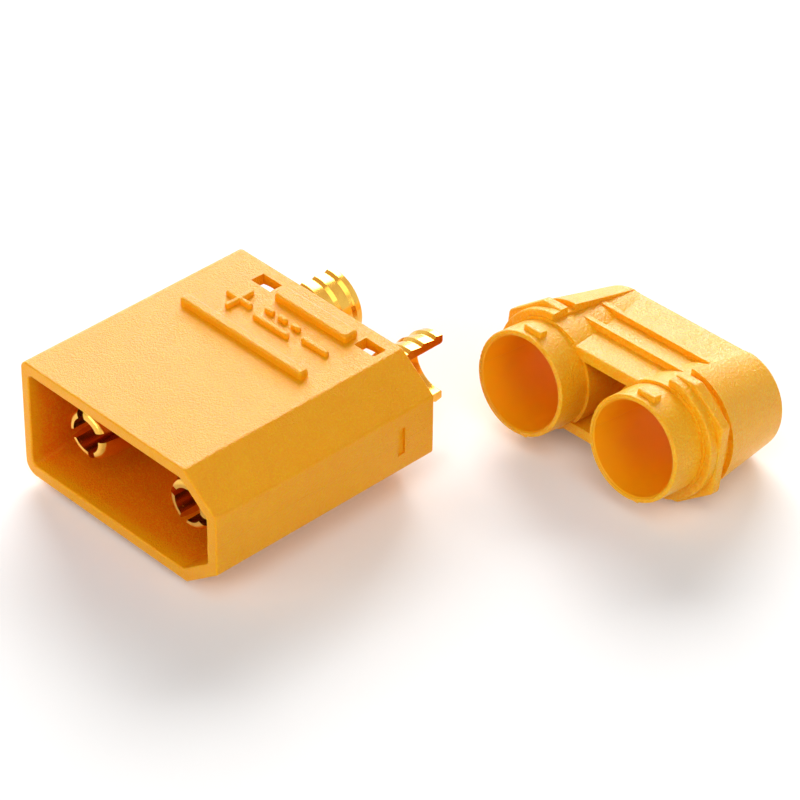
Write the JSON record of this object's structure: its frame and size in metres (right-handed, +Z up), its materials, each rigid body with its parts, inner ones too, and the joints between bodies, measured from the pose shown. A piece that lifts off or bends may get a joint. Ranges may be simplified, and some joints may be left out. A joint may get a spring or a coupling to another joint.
{
  "type": "battery connector",
  "caption": "High-current battery plug: keyed orange shroud around split gold pins, half-open solder cups at the rear, and its push-fit rear cap lying beside it.",
  "frame": {"origin": "middle of the mating mouth, on the plane of the two contact axes; the table is at the foot of the lower grip bars", "axes": "+Y from the mating mouth towards the wires, +X across the poles towards the chamfered negative end, +Z up"},
  "size_m": [0.0372, 0.0414, 0.011],
  "materials": {
    "orange_nylon": "fine sand-blasted moulding texture",
    "gold_plate": "polished gold plating on brass"
  },
  "bodies": {
    "root": {"housing": "orange_nylon", "rear_cap": "orange_nylon", "contact_plus": "gold_plate", "contact_minus": "gold_plate"}
  },
  "joints": []
}
